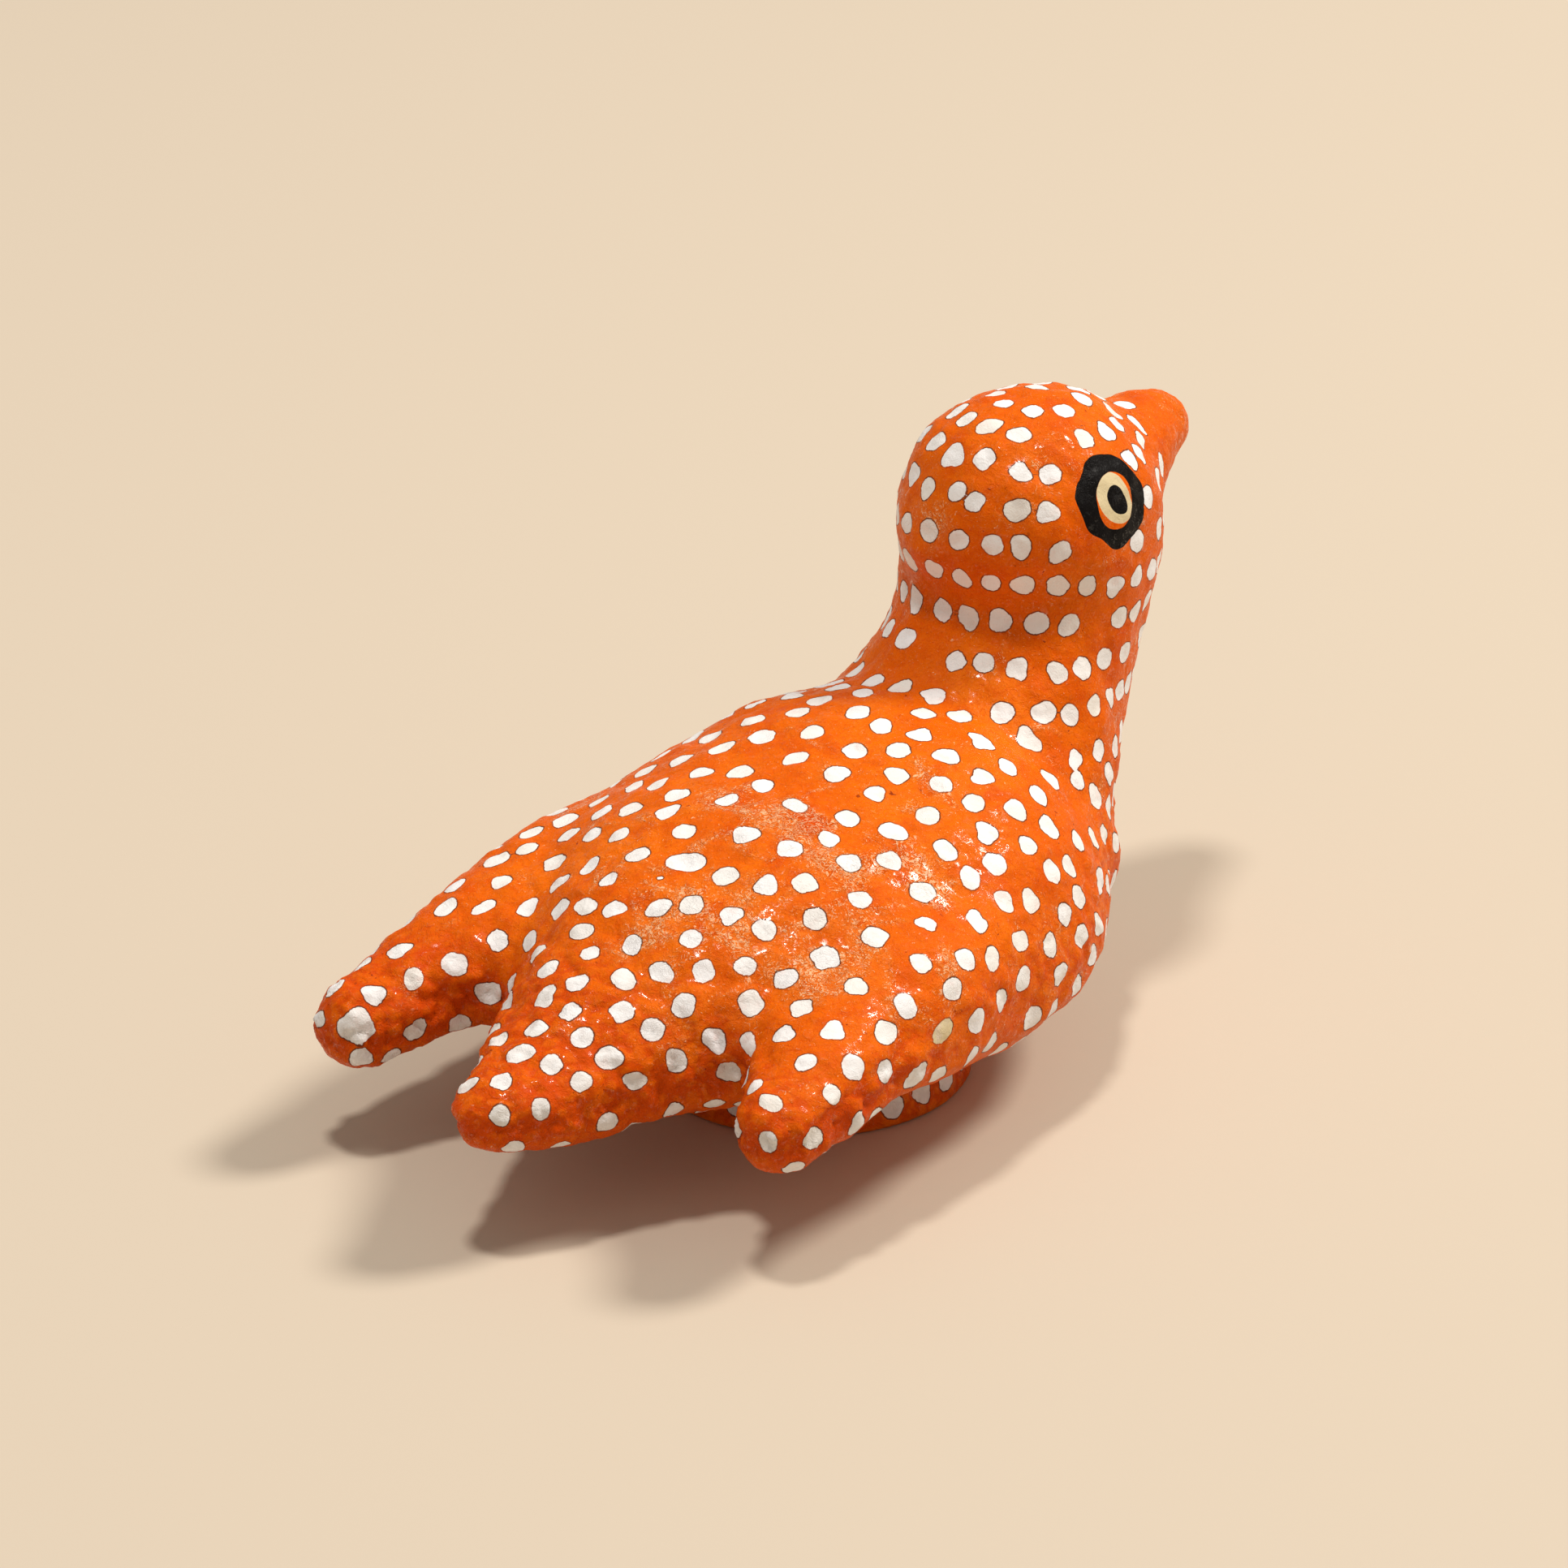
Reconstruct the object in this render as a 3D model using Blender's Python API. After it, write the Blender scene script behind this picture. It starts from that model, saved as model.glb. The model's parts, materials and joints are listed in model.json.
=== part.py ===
"""A papier-mache bird: one papered body with a thick neck, a blunt beak, two wings and a tail.

It stands on a low round foot, a piece of its own that is glued flat under the belly.
The bird is a few wads of paper pressed together, trunk, neck, beak and wings, under one paper skin.
Metres, +Z up. The origin is the middle of the foot's underside.
The bird looks along -Y, and its right side is at -X.
"""

from math import copysign, cos, pi, sin

import bmesh
import bpy
from mathutils import Vector

# Foot
FOOT_RADIUS = 0.0220
FOOT_HEIGHT = 0.0075
FOOT_FLARE = 0.0012
FOOT_EDGE = 0.0009
FOOT_SIDES = 72
GLUE_LINE = 0.0003

# Bird, from the tip of its beak to the tip of its longer wing
BIRD_LENGTH = 0.1465

# Each wad is a row of ribs from its rear or lower end to its front or upper end.
# All its numbers are hundredths of the bird's length.
# A rib is its middle's x, y and height over the foot, then its half width, rise and drop.
# Rise is up on a lying wad, and back on the standing neck.
# Caps are how far each end is rounded past its last rib.
# Below a squareness of 1 a rib has fuller corners than an ellipse.
TRUNK = (
    (0.0, 43.3, 7.0, 4.2, 3.3, 3.5),
    (0.0, 36.2, 7.0, 7.5, 5.3, 4.9),
    (0.0, 29.4, 7.1, 10.6, 8.3, 5.3),
    (0.0, 22.5, 7.1, 15.6, 12.2, 5.2),
    (0.0, 13.7, 6.8, 22.5, 15.6, 6.7),
    (0.0, 2.7, 6.6, 24.4, 17.5, 7.6),
    (0.0, -8.2, 7.0, 23.9, 19.2, 7.8),
    (0.0, -17.1, 8.0, 20.8, 18.6, 7.8),
    (0.0, -23.9, 9.4, 16.5, 14.8, 7.5),
)
TRUNK_CAPS = (3.2, 8.8)
TRUNK_SQUARENESS = 0.92

NECK = (
    (0.0, -19.1, 11.1, 17.0, 15.6, 12.6),
    (0.0, -25.6, 20.6, 13.5, 12.0, 12.6),
    (0.0, -29.7, 28.1, 11.3, 10.5, 13.8),
    (0.0, -31.5, 34.3, 11.7, 12.2, 14.0),
    (0.0, -31.7, 38.4, 12.0, 13.4, 13.7),
)
NECK_CAPS = (5.5, 11.7)
NECK_SQUARENESS = 1.0

BEAK = (
    (0.0, -38.5, 37.9, 8.6, 8.0, 7.4),
    (0.0, -44.0, 39.7, 6.6, 6.1, 5.5),
    (0.0, -48.8, 40.8, 4.8, 4.5, 4.1),
    (0.0, -51.6, 41.3, 3.9, 3.7, 3.5),
)
BEAK_CAPS = (2.7, 3.0)
BEAK_SQUARENESS = 1.0

# One wing, with x outward. Its reach moves the tip backward and its lift raises the tip.
# Both fade to nothing at the root.
WING = (
    (21.5, 33.6, 6.4, 4.3, 4.2, 4.2),
    (20.2, 27.3, 7.1, 5.8, 5.6, 3.5),
    (17.5, 19.8, 7.6, 8.6, 8.2, 3.3),
    (15.7, 10.9, 8.0, 10.2, 10.0, 5.0),
    (14.3, 0.0, 8.3, 10.2, 10.0, 6.8),
)
WING_CAPS = (4.3, 8.2)
WING_SQUARENESS = 0.8
RIGHT_WING_REACH = -2.7
RIGHT_WING_LIFT = 1.5
LEFT_WING_REACH = 2.9
LEFT_WING_LIFT = -0.3

# Paper skin
RIB_SIDES = 40
RIBS_BETWEEN = 10
CAP_RIBS = 8
SKIN_CELLS_ALONG = 122
SKIN_SOFTENING = 36
SKIN_FACES_KEPT = 0.16

ORANGE = (0.80, 0.13, 0.008, 1.0)
PAINT_ROUGHNESS = 0.45


def on_curve(p, q, r, s, t):
    """The Catmull-Rom curve from q to r, at t from 0 to 1."""
    straight = 2 * q + (r - p) * t
    bent = (2 * p - 5 * q + 4 * r - s) * t**2 + (3 * q - p - 3 * r + s) * t**3
    return (straight + bent) / 2


def between(ribs):
    """The ribs, with more read between them on a smooth curve."""
    rows = [ribs[0], *ribs, ribs[-1]]
    found = []
    for four in zip(rows, rows[1:], rows[2:], rows[3:]):
        for step in range(RIBS_BETWEEN):
            found.append([on_curve(*values, step / RIBS_BETWEEN) for values in zip(*four)])
    return [*found, list(ribs[-1])]


def rounded(ribs, caps):
    """The ribs with a round cap beyond each end. A last value, their size, falls from 1 to 0 over a cap."""
    rows = [[*rib, 1.0] for rib in ribs]
    for at_front, cap in enumerate(caps):
        edge, inner = (ribs[-1], ribs[-2]) if at_front else (ribs[0], ribs[1])
        outward = (Vector(edge[:3]) - Vector(inner[:3])).normalized()
        for step in range(1, CAP_RIBS + 1):
            angle = pi / 2 * step / CAP_RIBS
            middle = Vector(edge[:3]) + outward * cap * sin(angle)
            row = [*middle, *edge[3:], cos(angle)]
            rows = [*rows, row] if at_front else [row, *rows]
    return rows


def squared(value, squareness):
    return copysign(abs(value) ** squareness, value)


def add_wad(paper, ribs, caps, squareness):
    """Adds one closed wad to the bmesh, as rings from end to end with a point at each pole."""
    rows = rounded(between(ribs), caps)
    middles = [Vector(row[:3]) for row in rows]
    rings = []
    for i, row in enumerate(rows):
        along = (middles[min(i + 1, len(rows) - 1)] - middles[max(i - 1, 0)]).normalized()
        side = (Vector((1, 0, 0)) - along * along.x).normalized()
        up = along.cross(side)
        width, rise, drop, size = row[3:]
        if i in (0, len(rows) - 1):
            rings.append([paper.verts.new(middles[i])])
            continue
        ring = []
        for corner in range(RIB_SIDES):
            angle = 2 * pi * corner / RIB_SIDES
            across = width * squared(cos(angle), squareness)
            height = (rise if sin(angle) > 0 else drop) * squared(sin(angle), squareness)
            ring.append(paper.verts.new(middles[i] + size * (side * across + up * height)))
        rings.append(ring)
    for lower, upper in zip(rings, rings[1:]):
        for corner in range(RIB_SIDES):
            beside = (corner + 1) % RIB_SIDES
            if len(lower) == 1:
                paper.faces.new((lower[0], upper[beside], upper[corner]))
            elif len(upper) == 1:
                paper.faces.new((lower[corner], lower[beside], upper[0]))
            else:
                paper.faces.new((lower[corner], lower[beside], upper[beside], upper[corner]))


def wing_ribs(outward, reach, lift):
    """A wing's ribs on one side: outward is 1 for +X and -1 for -X."""
    root = len(WING) - 1
    placed = []
    for i, (x, y, z, *sizes) in enumerate(WING):
        share = (root - i) / root
        placed.append((outward * x, y + reach * share, z + lift * share, *sizes))
    return placed


def new_object(name, shape):
    mesh = bpy.data.meshes.new(name)
    bmesh.ops.recalc_face_normals(shape, faces=shape.faces)
    shape.to_mesh(mesh)
    shape.free()
    made = bpy.data.objects.new(name, mesh)
    bpy.context.scene.collection.objects.link(made)
    return made


def orange_paint():
    paint = bpy.data.materials.new("orange_paint")
    paint.use_nodes = True
    shader = paint.node_tree.nodes["Principled BSDF"]
    shader.inputs["Base Color"].default_value = ORANGE
    shader.inputs["Roughness"].default_value = PAINT_ROUGHNESS
    shader.inputs["Metallic"].default_value = 0.0
    return paint


def add_drum(shape, lower_radius, upper_radius, bottom, top):
    drum = bmesh.ops.create_cone(
        shape,
        cap_ends=True,
        segments=FOOT_SIDES,
        radius1=lower_radius,
        radius2=upper_radius,
        depth=top - bottom,
    )
    bmesh.ops.translate(shape, verts=drum["verts"], vec=(0, 0, (bottom + top) / 2))


def make_foot():
    """A low drum, a little wider at the table, with its edges rubbed round."""
    shape = bmesh.new()
    add_drum(shape, FOOT_RADIUS, FOOT_RADIUS - FOOT_FLARE, 0, FOOT_HEIGHT)
    foot = new_object("foot", shape)
    rubbed = foot.modifiers.new("rubbed_edges", "BEVEL")
    rubbed.width = FOOT_EDGE
    rubbed.segments = 2
    rubbed.limit_method = "ANGLE"
    return foot


def make_belly_cutter(seat):
    """What is taken off the belly, so that it sits flat on the foot at the height of the seat."""
    shape = bmesh.new()
    add_drum(shape, BIRD_LENGTH, BIRD_LENGTH, seat - BIRD_LENGTH, seat)
    cutter = new_object("belly_cutter", shape)
    cutter.hide_render = True
    cutter.display_type = "WIRE"
    return cutter


def make_bird():
    seat = FOOT_HEIGHT + GLUE_LINE
    share = BIRD_LENGTH / 100
    shape = bmesh.new()
    add_wad(shape, TRUNK, TRUNK_CAPS, TRUNK_SQUARENESS)
    add_wad(shape, NECK, NECK_CAPS, NECK_SQUARENESS)
    add_wad(shape, BEAK, BEAK_CAPS, BEAK_SQUARENESS)
    add_wad(shape, wing_ribs(-1, RIGHT_WING_REACH, RIGHT_WING_LIFT), WING_CAPS, WING_SQUARENESS)
    add_wad(shape, wing_ribs(1, LEFT_WING_REACH, LEFT_WING_LIFT), WING_CAPS, WING_SQUARENESS)
    bmesh.ops.scale(shape, verts=shape.verts, vec=(share, share, share))
    bmesh.ops.translate(shape, verts=shape.verts, vec=(0, 0, seat))
    bird = new_object("bird", shape)
    skin = bird.modifiers.new("paper_skin", "REMESH")
    skin.mode = "VOXEL"
    skin.voxel_size = BIRD_LENGTH / SKIN_CELLS_ALONG
    softened = bird.modifiers.new("softened_joins", "SMOOTH")
    softened.factor = 0.5
    softened.iterations = SKIN_SOFTENING
    fewer = bird.modifiers.new("fewer_faces", "DECIMATE")
    fewer.ratio = SKIN_FACES_KEPT
    flat_belly = bird.modifiers.new("flat_belly", "BOOLEAN")
    flat_belly.operation = "DIFFERENCE"
    flat_belly.solver = "EXACT"
    flat_belly.object = make_belly_cutter(seat)
    return bird


for old in list(bpy.data.objects):
    bpy.data.objects.remove(old)
paint = orange_paint()
for piece in (make_bird(), make_foot()):
    piece.data.materials.append(paint)
    piece.data.shade_smooth()
    piece.data.set_sharp_from_angle(angle=pi / 4)
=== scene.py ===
"""The looks of the papier-mache bird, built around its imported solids.

Metres, +Z up. The bird looks along -Y, and its right side is at -X.
"""

import json
from math import cos, pi, radians, sin

import bpy
import numpy as np
from mathutils import Matrix, Vector
from mathutils.kdtree import KDTree

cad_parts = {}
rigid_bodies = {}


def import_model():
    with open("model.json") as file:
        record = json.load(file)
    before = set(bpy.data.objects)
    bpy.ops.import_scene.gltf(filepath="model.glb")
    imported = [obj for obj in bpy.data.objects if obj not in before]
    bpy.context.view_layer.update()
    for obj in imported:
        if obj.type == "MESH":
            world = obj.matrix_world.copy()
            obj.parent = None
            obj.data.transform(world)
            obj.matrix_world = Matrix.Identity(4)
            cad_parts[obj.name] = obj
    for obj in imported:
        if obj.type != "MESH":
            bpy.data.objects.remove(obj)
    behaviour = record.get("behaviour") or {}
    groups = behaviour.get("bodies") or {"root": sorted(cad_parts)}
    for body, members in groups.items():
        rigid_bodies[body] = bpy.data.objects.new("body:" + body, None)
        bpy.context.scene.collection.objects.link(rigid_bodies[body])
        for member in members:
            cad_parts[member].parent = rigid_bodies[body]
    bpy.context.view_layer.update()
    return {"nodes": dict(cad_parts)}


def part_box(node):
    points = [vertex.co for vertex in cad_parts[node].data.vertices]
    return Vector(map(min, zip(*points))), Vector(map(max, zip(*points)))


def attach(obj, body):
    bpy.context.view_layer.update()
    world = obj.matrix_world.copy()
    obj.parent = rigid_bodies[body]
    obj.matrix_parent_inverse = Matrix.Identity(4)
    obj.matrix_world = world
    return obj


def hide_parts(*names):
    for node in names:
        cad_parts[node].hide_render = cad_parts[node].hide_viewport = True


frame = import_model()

# The bird: one skin of torn paper pasted over wads of paper, with no seam, painted and varnished.
# It starts as a fine-faced copy of the frame's bird. The lumps, wrinkles and pits that the
# paste leaves as it dries are pushed into it, and its belly stays flat where it is glued on.
SKIN_CELL = 0.00057
SKIN_SOFTENING = 10
MERGE_DISTANCE = 1e-6
BELLY_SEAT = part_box("bird")[0].z
BELLY_FREE = 0.0025

LUMP_SIZE, LUMP_HEIGHT = 0.0100, 0.0015
DENT_SIZE, DENT_HEIGHT = 0.0046, 0.0018
WRINKLE_SIZE, WRINKLE_HEIGHT = 0.0020, 0.0008
RELIEF_DEPTH = 0.00016

# The skin is roughest low down at the rear, where it faces sideways. Elsewhere it has a share of that.
SMOOTH_SHARE = 0.24
TIP_SHARE = 0.45
HIDDEN_SHARE = 0.35
FRONT_SHARE = 0.30
# Each pair is where a soft step starts and ends. A facing is how far the skin looks down, from -1 to 1.
SIDE_FACING = (-0.75, 0.0)
DOWN_FACING = (0.0, 0.5)
LOW_HEIGHT = (0.040, 0.025)
REAR_PART = (0.012, 0.040)
TIP_PART = (0.032, 0.052)

LIFTED = "lifted_skin"
CRUMPLED = "crumpled_skin"
WEIGHT_STEPS = 20


def deselect_all():
    bpy.ops.object.select_all(action="DESELECT")


def fine_copy(node, name, cell, softening):
    """A copy of a frame node with small even faces, as an object of its own."""
    deselect_all()
    node.select_set(True)
    bpy.context.view_layer.objects.active = node
    bpy.ops.object.duplicate()
    skin = bpy.context.view_layer.objects.active
    bpy.ops.object.parent_clear(type="CLEAR_KEEP_TRANSFORM")
    skin.name = name
    skin.data.name = name
    skin.data.materials.clear()
    bpy.ops.object.mode_set(mode="EDIT")
    bpy.ops.mesh.select_all(action="SELECT")
    bpy.ops.mesh.remove_doubles(threshold=MERGE_DISTANCE)
    bpy.ops.object.mode_set(mode="OBJECT")
    paper = skin.modifiers.new("paper", "REMESH")
    paper.mode = "VOXEL"
    paper.voxel_size = cell
    bpy.ops.object.modifier_apply(modifier=paper.name)
    soft = skin.modifiers.new("soft", "SMOOTH")
    soft.factor = 0.5
    soft.iterations = softening
    bpy.ops.object.modifier_apply(modifier=soft.name)
    bpy.ops.object.shade_smooth()
    return skin


def surface_of(skin):
    """Where the skin's vertices are and which way the skin faces there, as rows of numbers."""
    count = len(skin.data.vertices)
    places = np.empty(count * 3)
    facings = np.empty(count * 3)
    skin.data.vertices.foreach_get("co", places)
    skin.data.vertices.foreach_get("normal", facings)
    return places.reshape(-1, 3), facings.reshape(-1, 3)


def eased(values, low, high):
    """0 at low, 1 at high, and a soft step between."""
    share = np.clip((values - low) / (high - low), 0, 1)
    return share * share * (3 - 2 * share)


def add_weights(skin, name, weights):
    """A vertex group with these weights, rounded to a few steps."""
    group = skin.vertex_groups.new(name=name)
    steps = np.round(weights * WEIGHT_STEPS).astype(int)
    for step in range(1, WEIGHT_STEPS + 1):
        group.add(np.nonzero(steps == step)[0].tolist(), step / WEIGHT_STEPS, "REPLACE")


def push_in(skin, name, kind, size, height, group, depth=2):
    """Pushes a cloudy pattern into the skin. Size is its lumps' width, height their full rise."""
    pattern = bpy.data.textures.new(name, "CLOUDS")
    pattern.noise_type = kind
    pattern.noise_scale = size
    pattern.noise_depth = depth
    pressed = skin.modifiers.new(name, "DISPLACE")
    pressed.texture = pattern
    pressed.texture_coords = "LOCAL"
    pressed.mid_level = 0.5
    pressed.strength = height
    pressed.vertex_group = group
    bpy.ops.object.modifier_apply(modifier=pressed.name)


def flatten_below(skin, height):
    """Presses flat whatever of the skin hangs below a height."""
    bpy.ops.object.mode_set(mode="EDIT")
    bpy.ops.mesh.select_mode(type="VERT")
    bpy.ops.mesh.select_all(action="DESELECT")
    bpy.ops.object.mode_set(mode="OBJECT")
    heights = surface_of(skin)[0][:, 2]
    skin.data.vertices.foreach_set("select", heights < height)
    bpy.ops.object.mode_set(mode="EDIT")
    bpy.ops.transform.resize(value=(1, 1, 0), center_override=(0, 0, height))
    bpy.ops.object.mode_set(mode="OBJECT")


def keep_number(skin, name, values):
    """Keeps one number for each vertex, which the paint reads."""
    kept = skin.data.attributes.new(name, "FLOAT", "POINT")
    kept.data.foreach_set("value", values.astype(np.float32))


bird = fine_copy(frame["nodes"]["bird"], "papered_bird", SKIN_CELL, SKIN_SOFTENING)
skin_places, skin_facings = surface_of(bird)
skin_behind, skin_heights = skin_places[:, 1], skin_places[:, 2]
lifted = eased(skin_heights, BELLY_SEAT, BELLY_SEAT + BELLY_FREE)
rough = eased(-skin_facings[:, 2], *SIDE_FACING) * eased(skin_heights, *LOW_HEIGHT)
rough *= FRONT_SHARE + (1 - FRONT_SHARE) * eased(skin_behind, *REAR_PART)
rough = np.maximum(rough, TIP_SHARE * eased(skin_behind, *TIP_PART))
crumpled = lifted * (SMOOTH_SHARE + (1 - SMOOTH_SHARE) * rough)
crumpled *= 1 - (1 - HIDDEN_SHARE) * eased(-skin_facings[:, 2], *DOWN_FACING)
add_weights(bird, LIFTED, lifted)
add_weights(bird, CRUMPLED, crumpled)
push_in(bird, "lumps", "SOFT_NOISE", LUMP_SIZE, LUMP_HEIGHT, LIFTED)
push_in(bird, "dents", "HARD_NOISE", DENT_SIZE, DENT_HEIGHT, CRUMPLED, depth=1)
lumpy_places, lumpy_facings = surface_of(bird)
push_in(bird, "wrinkles", "HARD_NOISE", WRINKLE_SIZE, WRINKLE_HEIGHT, CRUMPLED, depth=3)
flatten_below(bird, BELLY_SEAT)
wrinkled_places = surface_of(bird)[0]
relief = ((wrinkled_places - lumpy_places) * lumpy_facings).sum(axis=1)
keep_number(bird, "relief", relief / RELIEF_DEPTH)
keep_number(bird, "rough", rough)

# Its white dabs are single touches of a small round brush, each a little different.
# They go in level rows round the head and neck, and are spread evenly over the rest.
# The beak and the eyes have none.
DAB_RADIUS = 0.00159
DAB_RADIUS_SPREAD = 0.00010
DAB_LEAST, DAB_MOST = 0.0013, 0.0020
HEAD_DAB_SHARE = 0.96
REAR_DAB_SHARE = 0.93
DAB_CREAM, DAB_CREAM_SPREAD, DAB_CREAM_MOST = 0.08, 0.07, 0.3
# Each lobe is how often it comes round a dab, and its usual share of the radius.
DAB_LOBES = ((2, 0.085), (3, 0.055), (4, 0.035), (5, 0.02))
# The direction that the lobes are turned from.
ASLANT = (0.31, 0.85, 0.42)
# A depth is how far inside a dab's edge the skin is, in mm, and below 0 outside it.
NEAREST_DABS = 3
FAR_OUT, LEAST_DEPTH = -9.0, -2.0
MM = 1000

# Gaps are between the middles of neighbouring dabs. The two pairs are where the gaps close up,
# along +Y behind and along -Y in front.
DAB_LEAST_GAP = 0.0041
DAB_WANDER = 0.00028
BACK_GAP = 0.0062
END_GAP = 0.0053
CLOSER_BEHIND = (0.020, 0.045)
CLOSER_IN_FRONT = (-0.008, 0.020)
FIRST_SPACING = 0.79
SETTLED_SPACING = 0.8
CROWDING = 4.0
EVENING_ROUNDS = 9
SPREAD_SHARE = 4

# The rows lean with the head and follow its round top. A row is a narrow band of skin, and each of its
# dabs goes to the point of the band that is nearest to its turn round the head and its rise.
HEAD_MIDDLE = np.array((0, -0.0464, 0.0640))
HEAD_RADIUS = 0.018
ROW_LEAN = radians(7)
ROW_GAP = 0.0054
ROW_FIRST, ROW_LAST = -4, 5
ROW_DAB_GAP = 0.0045
ROW_LEAST_GAP = 0.0037
ROW_BAND = 0.0005
ROW_TURN_STRAY = 0.07
ROW_RISE_STRAY = 0.00035
RISE_COUNTS = 2
BEAK_ROOT = 0.0215
BEAK_BELOW = 0.012
ROW_REACH = BEAK_ROOT + 0.006
ROWS_END_SHARE = 0.6
SHOULDER_FRONT = -0.020
SHOULDER_REACH = 0.0245
BELLY_RIM = 0.0003

EYE_MIDDLE = np.array((0.0157, -0.0434, 0.0703))
EYE_REACH = 0.0083

# Each odd dab is its place, how many times the usual size it is, and how creamy.
ODD_DABS = (
    ((0.0001, 0.0248, 0.0388), 1.32, 0.0),
    ((-0.0372, 0.0190, 0.0241), 1.12, 1.0),
    ((0.0278, 0.0571, 0.0191), 1.55, 0.1),
    ((-0.0008, -0.0300, 0.0722), 0.85, 0.05),
    ((-0.0035, -0.0300, 0.0714), 0.85, 0.05),
    ((-0.0195, -0.0317, 0.0384), 0.85, 0.0),
    ((-0.0206, -0.0303, 0.0362), 0.85, 0.0),
    ((0.0017, 0.0282, 0.0376), 0.28, 0.0),
)

chance = np.random.default_rng(11)


def tree_of(places):
    tree = KDTree(len(places))
    for i, place in enumerate(places):
        tree.insert(place, i)
    tree.balance()
    return tree


def nearest_rows(places, wanted):
    tree = tree_of(places)
    return np.array([tree.find(place)[1] for place in wanted])


def in_beak(places):
    """True beyond the beak's root."""
    out = places - HEAD_MIDDLE
    return (np.hypot(out[:, 0], out[:, 1]) > BEAK_ROOT) & (out[:, 1] < 0) & (out[:, 2] > -BEAK_BELOW)


def in_eye(places):
    mirrored = np.column_stack((abs(places[:, 0]), places[:, 1], places[:, 2]))
    return np.linalg.norm(mirrored - EYE_MIDDLE, axis=1) < EYE_REACH


def row_dabs(places, taken):
    """Dabs in level rows from the neck to the crown, each row one walk round the head."""
    found = list(taken)
    lean = np.array((0, -sin(ROW_LEAN), cos(ROW_LEAN)))
    front = np.array((0, -cos(ROW_LEAN), -sin(ROW_LEAN)))
    out = places - HEAD_MIDDLE
    rise = out @ lean
    ahead = out @ front
    reach = np.hypot(out[:, 0], ahead)
    height = np.where(rise > 0, HEAD_RADIUS * np.arctan2(rise, reach), rise)
    turn = np.arctan2(out[:, 0], ahead)
    for row in range(ROW_FIRST, ROW_LAST + 1):
        near = (abs(height - row * ROW_GAP) < ROW_BAND) & (reach < ROW_REACH)
        around = np.median(reach[near]) * 2 * pi
        count = max(int(around / ROW_DAB_GAP), 1)
        start = chance.uniform(0, 2 * pi)
        for step in range(count):
            angle = (start + 2 * pi * (step + chance.normal(0, ROW_TURN_STRAY)) / count) % (2 * pi) - pi
            level = row * ROW_GAP + chance.normal(0, ROW_RISE_STRAY)
            miss = abs(turn - angle) * reach + RISE_COUNTS * abs(height - level)
            miss[~near] = 1
            place = places[np.argmin(miss)]
            if all(np.linalg.norm(place - other) > ROW_LEAST_GAP for other in found):
                found.append(place)
    return found


def spread_gap(places):
    """How far apart the dabs are meant to be: closer towards the tail, the wing tips and the neck."""
    to_tail = eased(places[:, 1], *CLOSER_BEHIND)
    to_neck = eased(-places[:, 1], *CLOSER_IN_FRONT)
    return BACK_GAP + (END_GAP - BACK_GAP) * np.maximum(to_tail, to_neck)


def spread_dabs(places, settled):
    """Dabs spread: thrown at random, then each moved to the middle of its own patch."""
    few = places[::SPREAD_SHARE]
    gap = spread_gap(few)
    order = chance.permutation(len(few))
    sites = list(settled)
    tree = tree_of(sites)
    grid = {}
    for i in order:
        key = tuple((few[i] / BACK_GAP).astype(int))
        near = [p for dx in (-1, 0, 1) for dy in (-1, 0, 1) for dz in (-1, 0, 1)
                for p in grid.get((key[0] + dx, key[1] + dy, key[2] + dz), ())]
        if any(np.linalg.norm(few[i] - p) < gap[i] * FIRST_SPACING for p in near):
            continue
        if tree.find(few[i])[2] < gap[i] * SETTLED_SPACING:
            continue
        grid.setdefault(key, []).append(few[i])
        sites.append(few[i])
    sites = np.array(sites)
    held = len(settled)
    weight = gap ** -CROWDING
    for _ in range(EVENING_ROUNDS):
        owner = nearest_rows(sites, few)
        share = np.bincount(owner, weight, len(sites))
        free = share > 0
        free[:held] = False
        for axis in range(3):
            total = np.bincount(owner, weight * few[:, axis], len(sites))
            sites[free, axis] = total[free] / share[free]
        sites[held:] = few[nearest_rows(few, sites[held:])]
    wandered = sites[held:] + chance.normal(0, DAB_WANDER, (len(sites) - held, 3))
    kept = list(settled)
    for place in few[nearest_rows(few, wandered)]:
        if min(np.linalg.norm(np.array(kept) - place, axis=1)) > DAB_LEAST_GAP:
            kept.append(place)
    return np.array(kept[held:])


def dab_fields(places, facings, middles, sizes, creams):
    """For each vertex, how far inside the nearest dab's edge it is, in mm, and how creamy that dab is."""
    count = len(middles)
    rows = nearest_rows(places, middles)
    normals = facings[rows]
    aside = np.cross(normals, ASLANT)
    aside /= np.linalg.norm(aside, axis=1)[:, None]
    above = np.cross(normals, aside)
    shares = [(lobes, chance.normal(0, share, count), chance.uniform(0, 2 * pi, count))
              for lobes, share in DAB_LOBES]
    tree = tree_of(middles)
    near = [tree.find_n(place, NEAREST_DABS) for place in places]
    inside = np.full(len(places), FAR_OUT)
    cream = np.zeros(len(places))
    for rank in range(NEAREST_DABS):
        owner = np.array([found[rank][1] for found in near])
        away = places - middles[owner]
        across = (away * aside[owner]).sum(axis=1)
        up = (away * above[owner]).sum(axis=1)
        turn = np.arctan2(up, across)
        radius = sizes[owner].copy()
        for lobes, share, phase in shares:
            radius *= 1 + share[owner] * np.cos(lobes * turn - phase[owner])
        depth = (radius - np.linalg.norm(away, axis=1)) * MM
        better = depth > inside
        inside = np.where(better, depth, inside)
        cream = np.where(better, creams[owner], cream)
    return np.maximum(inside, LEAST_DEPTH), cream


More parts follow.
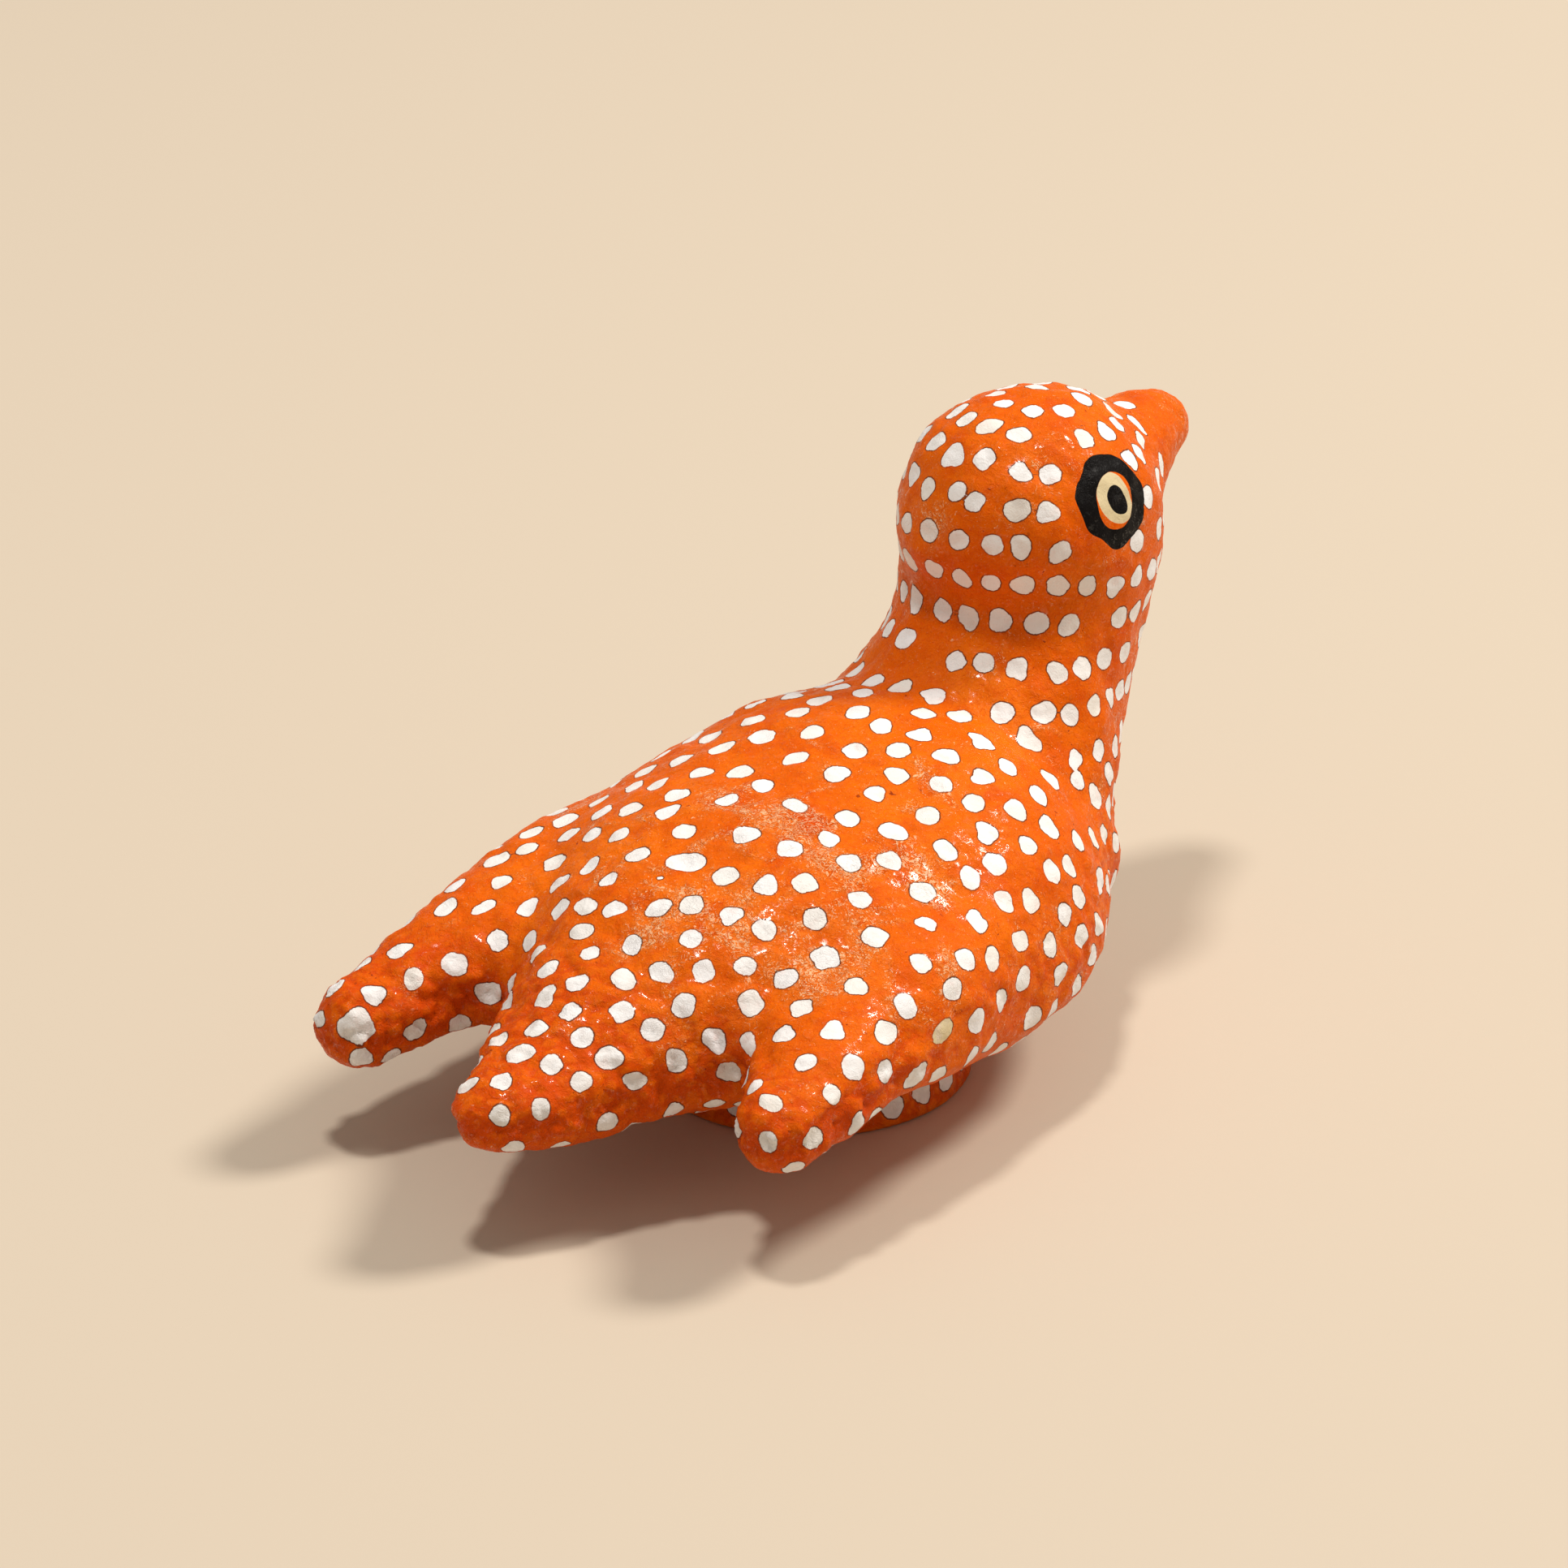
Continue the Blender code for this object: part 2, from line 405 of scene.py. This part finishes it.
odd_rows = nearest_rows(skin_places, [place for place, size, cream in ODD_DABS])
odd_places = skin_places[odd_rows]
open_skin = ~in_beak(skin_places) & ~in_eye(skin_places)
round_head = row_dabs(skin_places[open_skin], odd_places)
rows_end = HEAD_MIDDLE[2] + (ROW_FIRST - ROWS_END_SHARE) * ROW_GAP
from_head = np.hypot(skin_places[:, 0], skin_behind - HEAD_MIDDLE[1])
on_body = (skin_heights < rows_end) | (skin_behind > SHOULDER_FRONT) | (from_head > SHOULDER_REACH)
on_body &= open_skin & (skin_heights > BELLY_SEAT + BELLY_RIM)
over_body = spread_dabs(skin_places[on_body], round_head)
dab_middles = np.vstack((np.array(round_head), over_body))
dab_count = len(dab_middles)
dab_sizes = np.clip(chance.normal(DAB_RADIUS, DAB_RADIUS_SPREAD, dab_count), DAB_LEAST, DAB_MOST)
dab_creams = np.clip(chance.normal(DAB_CREAM, DAB_CREAM_SPREAD, dab_count), 0, DAB_CREAM_MOST)
dab_sizes[:len(round_head)] *= HEAD_DAB_SHARE
dab_sizes *= 1 - (1 - REAR_DAB_SHARE) * eased(dab_middles[:, 1], *CLOSER_BEHIND)
for i, (place, size, cream) in enumerate(ODD_DABS):
    dab_sizes[i] = DAB_RADIUS * size
    dab_creams[i] = cream
dab_inside, dab_cream = dab_fields(skin_places, skin_facings, dab_middles, dab_sizes, dab_creams)
keep_number(bird, "dab", dab_inside)
keep_number(bird, "cream", dab_cream)

# Its paint is a thin orange wash over the paper, patchy, deeper in the wrinkles and rubbed
# paler on the back. The deeper wrinkles are partly painted shade, the deeper orange on rough skin is
# painted shade, and the paler back holds a painted sheen and painted glints.
# Each eye is a black ring round an orange and cream one with a black pupil.
# A thin varnish over all of it shines only where it has caught on raised fibres.
ORANGE = (0.80, 0.131, 0.001, 1)
# The deep orange is the wash where it lies thick, and also the painted shade on rough skin and in
# hollows.
DEEP_ORANGE = (0.62, 0.046, 0.0005, 1)
YELLOW_ORANGE = (0.88, 0.172, 0.002, 1)
# The pale orange of the rubbed back, partly a painted sheen.
RUBBED_SHEEN_ORANGE = (0.93, 0.262, 0.034, 1)
# Pale fibres that are also painted glints.
PALE_FIBRE_GLINT = (1.0, 0.70, 0.42, 1)
PIT_BROWN = (0.22, 0.018, 0.002, 1)
RIM_BROWN = (0.10, 0.028, 0.012, 1)
WHITE = (0.91, 0.90, 0.91, 1)
CREAM = (0.74, 0.62, 0.38, 1)
STAINED_WHITE = (0.86, 0.66, 0.62, 1)
# The white of the dabs in the wrinkles' hollows, greyed as painted shade.
SHADED_WHITE = (0.50, 0.42, 0.36, 1)
BLACK = (0.006, 0.005, 0.005, 1)

# Each cloudy pattern is the size of its lumps, then its detail, roughness and distortion.
PATCH_CLOUD = (0.022, 3, 0.55, 0.6)
WASH_CLOUD = (0.006, 3, 0.6)
RUB_SHEEN_CLOUD = (0.008, 3, 0.65, 0.6)
FIBRE_CLOUD = (0.00060, 3, 0.7, 2.0)
CRINKLE_CLOUD = (0.0011, 4, 0.65, 0.8)
PIT_CLOUD = (0.0009, 2, 0.5)
PITTED_CLOUD = (0.010,)
RAGGED_CLOUD = (0.0007, 2, 0.6)
STAIN_CLOUD = (0.0024, 2)
GLOSS_CLOUD = (0.0045, 3, 0.6)
CLOUD_MIDDLE = 0.5
SHAKE_SIZE, SHAKE = 0.002, 0.0012
# How far a cloudy pattern moves the edge of a dab, in mm.
RAGGED_EDGE = 0.35

# Each step is the two values of a pattern between which a layer of paint goes from none to full,
# and each share is how strong the full layer is.
YELLOW_STEP = (0.42, 0.68)
# The third share here is painted shade: how much deeper the orange goes on rough skin, which on the bird
# is low down where it faces sideways.
POOLED_STEP, POOLED_SHARE, ROUGH_SHADE_SHARE = (0.50, 0.32), 0.34, 0.33
# The rubbed layer is rubbed paint and a painted sheen.
RUBBED_SHEEN_STEP, RUBBED_SHEEN_SHARE, THIN_WASH_STEP = (0.55, 0.76), 0.55, (0.35, 0.6)
BETWEEN_STEP, BETWEEN_SHARE = (0.52, 0.38), 0.3
# The flecks are pale fibres and painted glints.
GLINT_FLECK_STEP, GLINT_FLECK_SHARE = (0.66, 0.71), 0.6
GROOVE_STEP, GROOVE_SHARE = (0.34, 0.30), 0.5
# The hollow layer darkens the wrinkles' hollows, as gathered wash and as painted shade.
HOLLOW_STEP, HOLLOW_SHADE_SHARE = (-0.2, -1.0), 0.6
# The rough crinkle share is painted shade: darker crinkles on rough skin.
CRINKLE_STEP, CRINKLE_SHARE, ROUGH_CRINKLE_SHADE_SHARE = (0.42, 0.30), 0.14, 0.22
PIT_STEP, PIT_SHARE, PITTED_STEP = (0.31, 0.25), 0.8, (0.5, 0.62)
RIM_STEP, RIM_SHARE = (-0.24, -0.08), 0.85
RIM_LEAST, RIM_BY_WASH, RIM_WASH_STEP = 0.45, 0.55, (0.38, 0.55)
STAIN_STEP, STAIN_SHARE = (0.58, 0.72), 0.35
# How much the dabs grey in the hollows, as painted shade.
DAB_HOLLOW_SHADE_SHARE = 0.2
DAB_STEP = (-0.03, 0.05)
GLINT_STEP = (0.54, 0.59)
GLOSS_STEP, GLOSS_SHARE = (0.50, 0.64), 0.6

# How much more hands rub where they hold the bird, where a sheen is painted too, how much less they
# rub rough paper, and how far the rubbing moves the patterns of the flecks, the grooves and the glints.
HELD_SHEEN_RUBBING = 0.17
ROUGH_UNRUBBED = 0.8
RUBBED_GLINT_FLECKS = 0.15
RUBBED_GROOVES = 0.10
RUBBED_GLINTS = 0.05

# How high the crinkles and fibres of the fine crumple stand, and how much higher where the paper is
# rubbed or rough, as shares of CRUMPLE_DEPTH. Then how much of that the brushed dabs and eyes smooth
# away, and how much of the glints the dabs cover.
CRINKLE_HEIGHT, ROUGH_CRINKLE_HEIGHT = 0.55, 0.5
FIBRE_HEIGHT, RUBBED_FIBRE_HEIGHT, ROUGH_FIBRE_HEIGHT = 0.24, 0.50, 0.2
BRUSHED_SMOOTH = 0.35
DAB_DULL = 0.8

# Where hands have held the bird and rubbed its back, with a painted sheen there, and how far round that.
HELD_SHEEN_MIDDLE = (-0.014, 0.020, 0.036)
HELD_SHEEN_CORE, HELD_SHEEN_REACH = 0.010, 0.034
CRUMPLE_DEPTH = 0.00034
PAINT_ROUGHNESS = 0.40
PAINT_IOR = 1.45
GLOSS = 0.20
VARNISH_WEIGHT = 0.01
GLINT_WEIGHT = 0.8
VARNISH_ROUGHNESS = 0.16
PAINT_SPECULAR = 0.06

EYE_OUT = Vector((0.89, 0.12, 0.44)).normalized()
EYE_UP = (Vector((0, 0, 1)) - EYE_OUT * EYE_OUT.z).normalized()
EYE_AHEAD = EYE_OUT.cross(EYE_UP)
if EYE_AHEAD.y > 0:
    EYE_AHEAD.negate()
EYE_WOBBLE_SIZE, EYE_WOBBLE = 0.0014, 0.0004
# How far behind its middle an eye's paint ends, and how soft its edges are, in mm.
EYE_SIDE = (-5, -4)
EYE_EDGE = (-0.04, 0.05)
# Each outline of the eye, in mm: its middle ahead and up, its mean radius, then its lobes.
# A lobe is how often it comes round, its share of the radius and the angle of its peak.
EYE_RING = (1.20, 0.05, 6.1, ((2, 0.03, -59), (4, 0.03, -5), (7, 0.03, 5)))
EYE_OPENING = (1.22, 0.0, 3.50, ((1, 0.02, -80), (2, 0.083, 76)))
EYE_CREAM = (1.25, 0.14, 3.18, ((2, 0.124, -69), (3, 0.047, -47)))
EYE_PUPIL = (1.55, -0.15, 1.80, ((2, 0.178, -65), (3, 0.04, -44)))


class Socket:
    """An output of a paint's nodes. An expression on it adds Math nodes, as in 1 - mask * 0.5."""

    def __init__(self, tree, end=None):
        self.tree = tree
        self.end = end

    def node(self, kind, settings=None, sockets=None, output=0):
        """Adds a node: its settings first, then the values or links of its sockets."""
        added = self.tree.nodes.new(kind)
        for name, value in (settings or {}).items():
            setattr(added, name, value)
        for name, value in (sockets or {}).items():
            if isinstance(value, Socket):
                self.tree.links.new(value.end, added.inputs[name])
            else:
                added.inputs[name].default_value = value
        return Socket(self.tree, added.outputs[output] if added.outputs else None)

    def math(self, operation, *values):
        return self.node("ShaderNodeMath", {"operation": operation}, dict(enumerate(values)))

    def __add__(self, other):
        return self.math("ADD", self, other)

    def __radd__(self, other):
        return self.math("ADD", other, self)

    def __sub__(self, other):
        return self.math("SUBTRACT", self, other)

    def __rsub__(self, other):
        return self.math("SUBTRACT", other, self)

    def __mul__(self, other):
        return self.math("MULTIPLY", self, other)

    def __rmul__(self, other):
        return self.math("MULTIPLY", other, self)

    def of(self, operation):
        """A sum that takes this alone, such as a cosine."""
        return self.math(operation, self)

    def highest(self, other):
        return self.math("MAXIMUM", self, other)

    def step(self, low, high):
        """0 at low, 1 at high, and a soft step between. High may be the lower one."""
        sockets = {"Value": self, "From Min": low, "From Max": high}
        return self.node("ShaderNodeMapRange", {"interpolation_type": "SMOOTHSTEP"}, sockets)

    def tint(self, colour, other):
        """A colour that goes from one to the other where this goes from 0 to 1."""
        sockets = {0: self, 6: colour, 7: other}
        return self.node("ShaderNodeMix", {"data_type": "RGBA"}, sockets, 2)

    def along(self, direction):
        """How far this vector goes along a direction."""
        sockets = {0: self, 1: direction}
        return self.node("ShaderNodeVectorMath", {"operation": "DOT_PRODUCT"}, sockets, "Value")

    def distance(self, point):
        """How far this vector's point is from another."""
        return self.node("ShaderNodeVectorMath", {"operation": "DISTANCE"}, {0: self, 1: point}, "Value")

    def cloud(self, size, detail=2.0, roughness=0.5, distortion=0.0):
        """A cloudy pattern on this vector, its lumps of a size in metres."""
        sockets = {"Vector": self, "Scale": 1 / size, "Detail": detail}
        sockets |= {"Roughness": roughness, "Distortion": distortion}
        return self.node("ShaderNodeTexNoise", {}, sockets)

    def shaken(self, size, amount):
        """This vector, moved about by a cloudy pattern."""
        sockets = {"Vector": self, "Scale": 1 / size, "Detail": 2.0}
        cloud = self.node("ShaderNodeTexNoise", {}, sockets, "Color")
        middle = (0.5, 0.5, 0.5)
        centred = self.node("ShaderNodeVectorMath", {"operation": "SUBTRACT"}, {0: cloud, 1: middle})
        moved = self.node("ShaderNodeVectorMath", {"operation": "SCALE"}, {0: centred, "Scale": amount})
        return self.node("ShaderNodeVectorMath", {"operation": "ADD"}, {0: self, 1: moved})


def new_paint(name):
    """A material with nothing in it, and where its nodes start."""
    paint = bpy.data.materials.new(name)
    paint.use_nodes = True
    paint.node_tree.nodes.clear()
    return paint, Socket(paint.node_tree)


def inside_outline(ahead, up, outline):
    """How far inside one of the eye's outlines a point is, in mm."""
    middle_ahead, middle_up, radius, lobes = outline
    across = ahead - middle_ahead
    above = up - middle_up
    turn = above.math("ARCTAN2", above, across)
    edge = radius
    for often, share, peak in lobes:
        edge = edge + radius * share * (often * (turn - radians(peak))).of("COSINE")
    return edge - (across * across + above * above).of("SQRT")


def kept_number(start, name):
    """What keep_number kept for each vertex."""
    return start.node("ShaderNodeAttribute", {"attribute_name": name}, {}, "Fac")


def painted_eyes(place, colour):
    """The colour with both eyes painted over it, and where their black rings reach."""
    wobbly = place.shaken(EYE_WOBBLE_SIZE, EYE_WOBBLE)
    sideways = place.node("ShaderNodeSeparateXYZ", {}, {0: wobbly}, "X").of("ABSOLUTE")
    local = place.node(
        "ShaderNodeCombineXYZ",
        {},
        {
            "X": sideways - EYE_MIDDLE[0],
            "Y": place.along((0, 1, 0)) - EYE_MIDDLE[1],
            "Z": place.along((0, 0, 1)) - EYE_MIDDLE[2],
        },
    )
    ahead = local.along(EYE_AHEAD) * MM
    up = local.along(EYE_UP) * MM
    out = local.along(EYE_OUT) * MM
    ring = inside_outline(ahead, up, EYE_RING).step(*EYE_EDGE) * out.step(*EYE_SIDE)
    opening = inside_outline(ahead, up, EYE_OPENING).step(*EYE_EDGE)
    yolk = inside_outline(ahead, up, EYE_CREAM).step(*EYE_EDGE)
    pupil = inside_outline(ahead, up, EYE_PUPIL).step(*EYE_EDGE)
    colour = (ring * (1 - opening)).tint(colour, BLACK)
    colour = (ring * opening * yolk).tint(colour, CREAM)
    return (ring * opening * pupil).tint(colour, BLACK), ring


def varnished(start, colour, height, glossy, glints):
    """The shader of the paint, with its fine crumple and the varnish over it."""
    bump = start.node(
        "ShaderNodeBump",
        {},
        {"Strength": 1.0, "Distance": CRUMPLE_DEPTH, "Height": height},
        "Normal",
    )
    return start.node(
        "ShaderNodeBsdfPrincipled",
        {},
        {
            "Base Color": colour,
            "Roughness": PAINT_ROUGHNESS - GLOSS * glossy,
            "Coat Weight": VARNISH_WEIGHT + GLINT_WEIGHT * glints,
            "Coat Roughness": VARNISH_ROUGHNESS,
            "Specular IOR Level": PAINT_SPECULAR,
            "IOR": PAINT_IOR,
            "Normal": bump,
        },
    )


def paper_paint(name, with_eyes):
    """Painted and varnished paper, which reads the numbers that the mesh keeps."""
    paint, start = new_paint(name)
    place = start.node("ShaderNodeTexCoord", {}, {}, "Object")
    relief = kept_number(start, "relief")
    rough = kept_number(start, "rough")

    # The wash
    shaken = place.shaken(SHAKE_SIZE, SHAKE)
    patches = place.cloud(*PATCH_CLOUD)
    wash = shaken.cloud(*WASH_CLOUD)
    colour = patches.step(*YELLOW_STEP).tint(ORANGE, YELLOW_ORANGE)
    pooled = wash.step(*POOLED_STEP) * POOLED_SHARE
    # Painted shade: a deeper orange on rough skin, on the bird low down where it faces sideways.
    colour = pooled.highest(rough * ROUGH_SHADE_SHARE).tint(colour, DEEP_ORANGE)

    # Fibres that show pale where hands have rubbed the back, with a painted sheen and painted glints
    # there
    fibres = shaken.cloud(*FIBRE_CLOUD)
    # Where the back is held and rubbed, and a sheen is painted.
    held = 1 - place.distance(HELD_SHEEN_MIDDLE).step(HELD_SHEEN_CORE, HELD_SHEEN_REACH)
    rubbed_sheen = (place.cloud(*RUB_SHEEN_CLOUD) + HELD_SHEEN_RUBBING * held).step(*RUBBED_SHEEN_STEP)
    rubbed_sheen = rubbed_sheen * (1 - ROUGH_UNRUBBED * rough)
    # Rubbed paint and a painted sheen: paler orange on the back.
    colour = (rubbed_sheen * RUBBED_SHEEN_SHARE * wash.step(*THIN_WASH_STEP)).tint(colour, RUBBED_SHEEN_ORANGE)
    colour = (fibres.step(*BETWEEN_STEP) * BETWEEN_SHARE).tint(colour, DEEP_ORANGE)
    # Painted glints: pale flecks of fibre, more on the rubbed back.
    glint_flecks = (fibres + RUBBED_GLINT_FLECKS * rubbed_sheen).step(*GLINT_FLECK_STEP)
    colour = (glint_flecks * GLINT_FLECK_SHARE).tint(colour, PALE_FIBRE_GLINT)
    grooves = (fibres - RUBBED_GROOVES * rubbed_sheen).step(*GROOVE_STEP)
    colour = (grooves * GROOVE_SHARE).tint(colour, DEEP_ORANGE)

    # Wrinkles and pits, where the wash gathers, with painted shade in the hollows and on rough skin
    crinkle = shaken.cloud(*CRINKLE_CLOUD)
    hollow = relief.step(*HOLLOW_STEP)
    # Darker crinkles everywhere, and more on rough skin as painted shade.
    creased = crinkle.step(*CRINKLE_STEP) * (CRINKLE_SHARE + ROUGH_CRINKLE_SHADE_SHARE * rough)
    # The hollows darken as gathered wash and as painted shade.
    colour = (hollow * HOLLOW_SHADE_SHARE).highest(creased).tint(colour, DEEP_ORANGE)
    pits = shaken.cloud(*PIT_CLOUD).step(*PIT_STEP) * place.cloud(*PITTED_CLOUD).step(*PITTED_STEP)
    colour = (pits * PIT_SHARE).tint(colour, PIT_BROWN)

    # The dabs, with a thin dark rim where the wash shows at their edge
    ragged = shaken.cloud(*RAGGED_CLOUD) - CLOUD_MIDDLE
    dab = kept_number(start, "dab") + ragged * RAGGED_EDGE
    rim = dab.step(*RIM_STEP) * (RIM_LEAST + RIM_BY_WASH * wash.step(*RIM_WASH_STEP))
    colour = (rim * RIM_SHARE).tint(colour, RIM_BROWN)
    white = kept_number(start, "cream").tint(WHITE, CREAM)
    white = (place.cloud(*STAIN_CLOUD).step(*STAIN_STEP) * STAIN_SHARE).tint(white, STAINED_WHITE)
    # Painted shade: the dabs grey in the wrinkles' hollows.
    white = (hollow * DAB_HOLLOW_SHADE_SHARE).tint(white, SHADED_WHITE)
    in_dab = dab.step(*DAB_STEP)
    colour = in_dab.tint(colour, white)

    # The fine crumple, weaker under the brushed dabs and eyes
    brushed = in_dab
    if with_eyes:
        colour, ring = painted_eyes(place, colour)
        brushed = brushed.highest(ring)
    crinkle_height = crinkle * (CRINKLE_HEIGHT + ROUGH_CRINKLE_HEIGHT * rough)
    fibre_share = FIBRE_HEIGHT + RUBBED_FIBRE_HEIGHT * rubbed_sheen + ROUGH_FIBRE_HEIGHT * rough
    height = (crinkle_height + fibres * fibre_share) * (1 - BRUSHED_SMOOTH * brushed)

    # Where the varnish shines
    raised = 0.5 * (fibres + crinkle) + RUBBED_GLINTS * rubbed_sheen
    glints = raised.step(*GLINT_STEP) * (1 - DAB_DULL * in_dab)
    glossy = rubbed_sheen.highest(place.cloud(*GLOSS_CLOUD).step(*GLOSS_STEP) * GLOSS_SHARE).highest(glint_flecks)
    shader = varnished(start, colour, height, glossy, glints)
    start.node("ShaderNodeOutputMaterial", {}, {"Surface": shader})
    return paint


bird.data.materials.append(paper_paint("orange_papered_skin", True))
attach(bird, "root")
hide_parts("bird")

# The foot: a low drum of the same pasted paper, glued under the belly, its edges rubbed round.
# One row of upright dabs goes round its wall.
FOOT_CELL = 0.0005
FOOT_SOFTENING = 3
foot_low, foot_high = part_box("foot")
FOOT_RADIUS = foot_high.x
FOOT_EDGE = 0.0012
FOOT_LUMP_HEIGHT = LUMP_HEIGHT * 0.6
FOOT_WRINKLE_HEIGHT = WRINKLE_HEIGHT * 0.7
FOOT_ROUGH = 0.6
FOOT_DABS = 25
FOOT_DAB_RADIUS = 0.0017
FOOT_DAB_LEAST, FOOT_DAB_MOST = 0.0015, 0.0021
FOOT_DAB_HEIGHT = 0.5
FOOT_TURN_STRAY = 0.08
FOOT_RISE_STRAY = 0.0003
FOOT_CREAM, FOOT_CREAM_SPREAD = 0.10, 0.05

foot = fine_copy(frame["nodes"]["foot"], "papered_foot", FOOT_CELL, FOOT_SOFTENING)
foot_places, foot_facings = surface_of(foot)
off_the_ends = eased(foot_places[:, 2], foot_low.z, foot_low.z + FOOT_EDGE)
off_the_ends *= eased(foot_places[:, 2], foot_high.z, foot_high.z - FOOT_EDGE)
add_weights(foot, LIFTED, off_the_ends)
push_in(foot, "foot_lumps", "SOFT_NOISE", LUMP_SIZE, FOOT_LUMP_HEIGHT, LIFTED)
lumpy_places, lumpy_facings = surface_of(foot)
push_in(foot, "foot_wrinkles", "HARD_NOISE", WRINKLE_SIZE, FOOT_WRINKLE_HEIGHT, LIFTED, depth=3)
wrinkled_places = surface_of(foot)[0]
relief = ((wrinkled_places - lumpy_places) * lumpy_facings).sum(axis=1)
keep_number(foot, "relief", relief / RELIEF_DEPTH)
keep_number(foot, "rough", off_the_ends * FOOT_ROUGH)

foot_dabs = []
for i in range(FOOT_DABS):
    angle = 2 * pi * (i + chance.normal(0, FOOT_TURN_STRAY)) / FOOT_DABS
    height = foot_high.z * FOOT_DAB_HEIGHT + chance.normal(0, FOOT_RISE_STRAY)
    foot_dabs.append((FOOT_RADIUS * cos(angle), FOOT_RADIUS * sin(angle), height))
foot_dabs = foot_places[nearest_rows(foot_places, foot_dabs)]
foot_sizes = chance.normal(FOOT_DAB_RADIUS, DAB_RADIUS_SPREAD, FOOT_DABS)
foot_sizes = np.clip(foot_sizes, FOOT_DAB_LEAST, FOOT_DAB_MOST)
foot_creams = np.clip(chance.normal(FOOT_CREAM, FOOT_CREAM_SPREAD, FOOT_DABS), 0, DAB_CREAM_MOST)
inside, cream = dab_fields(foot_places, foot_facings, foot_dabs, foot_sizes, foot_creams)
keep_number(foot, "dab", inside)
keep_number(foot, "cream", cream)
foot.data.materials.append(paper_paint("orange_papered_foot", False))
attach(foot, "root")
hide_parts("foot")

# The table: a plain pale sheet that the foot stands on.
TABLE_SIDE = 6.0
TABLE_COLOUR = (0.61, 0.52, 0.41, 1)
TABLE_ROUGHNESS = 0.8

deselect_all()
bpy.ops.mesh.primitive_plane_add(size=TABLE_SIDE, location=(0, 0, 0))
table = bpy.context.active_object
table.name = "table"
table_paint, start = new_paint("pale_sheet")
sheet_look = {"Base Color": TABLE_COLOUR, "Roughness": TABLE_ROUGHNESS}
sheet = start.node("ShaderNodeBsdfPrincipled", {}, sheet_look)
start.node("ShaderNodeOutputMaterial", {}, {"Surface": sheet})
table.data.materials.append(table_paint)

# The light: a soft key lamp from the bird's front right, a narrower one above that glints on the
# varnish, and a pale room that fills the shade.
LIGHT_TARGET = Vector((0, 0, 0.035))
KEY_FROM = Vector((-0.42, -0.68, 1.0)).normalized()
LAMP_DISTANCE = 2.4
KEY_WIDTH = 0.62
KEY_WATTS = 43.5
KEY_COLOUR = (1.0, 0.95, 0.88)
TOP_FROM = Vector((0.05, 0.10, 1.0)).normalized()
TOP_WIDTH = 0.30
TOP_WATTS = 27.0
TOP_COLOUR = (1.0, 0.96, 0.91)
ROOM_COLOUR = (1.0, 0.92, 0.82, 1)
ROOM_STRENGTH = 0.34


def add_lamp(name, from_where, width, watts, colour):
    """A round lamp that looks at the bird from a direction."""
    light = bpy.data.lights.new(name, "AREA")
    light.shape = "DISK"
    light.size = width
    light.energy = watts
    light.color = colour
    lamp = bpy.data.objects.new(name, light)
    lamp.location = LIGHT_TARGET + from_where * LAMP_DISTANCE
    lamp.rotation_euler = from_where.to_track_quat("Z", "Y").to_euler()
    bpy.context.scene.collection.objects.link(lamp)


add_lamp("key", KEY_FROM, KEY_WIDTH, KEY_WATTS, KEY_COLOUR)
add_lamp("top", TOP_FROM, TOP_WIDTH, TOP_WATTS, TOP_COLOUR)

room = bpy.data.worlds.new("pale_room")
room.use_nodes = True
background = room.node_tree.nodes["Background"]
background.inputs["Color"].default_value = ROOM_COLOUR
background.inputs["Strength"].default_value = ROOM_STRENGTH
bpy.context.scene.world = room
bpy.context.scene.view_settings.view_transform = "Standard"

# The camera: it looks down on the bird's right flank from behind.
# The photograph is 1932 pixels wide, and the origin shows at ORIGIN_PIXEL in it.
PHOTO_WIDTH = 1932
ORIGIN_PIXEL = (996, 1308)
PIXELS_PER_METRE = 9300
CAMERA_TURN = radians(51)
CAMERA_DOWN = radians(25)
CAMERA_DISTANCE = 0.8
FILM_WIDTH = 36

level = Vector((cos(CAMERA_TURN), -sin(CAMERA_TURN), 0))
ahead = level * cos(CAMERA_DOWN) - Vector((0, 0, sin(CAMERA_DOWN)))
aside = level.cross(Vector((0, 0, 1)))
above = aside.cross(ahead)
origin_aside = (ORIGIN_PIXEL[0] - PHOTO_WIDTH / 2) / PIXELS_PER_METRE
origin_below = (ORIGIN_PIXEL[1] - PHOTO_WIDTH / 2) / PIXELS_PER_METRE
lens = bpy.data.cameras.new("camera")
lens.sensor_width = FILM_WIDTH
lens.lens = FILM_WIDTH * PIXELS_PER_METRE * CAMERA_DISTANCE / PHOTO_WIDTH
camera = bpy.data.objects.new("camera", lens)
turned = Matrix((aside, above, -ahead)).transposed().to_4x4()
spot = -origin_aside * aside + origin_below * above - CAMERA_DISTANCE * ahead
camera.matrix_world = Matrix.Translation(spot) @ turned
bpy.context.scene.collection.objects.link(camera)
bpy.context.scene.camera = camera
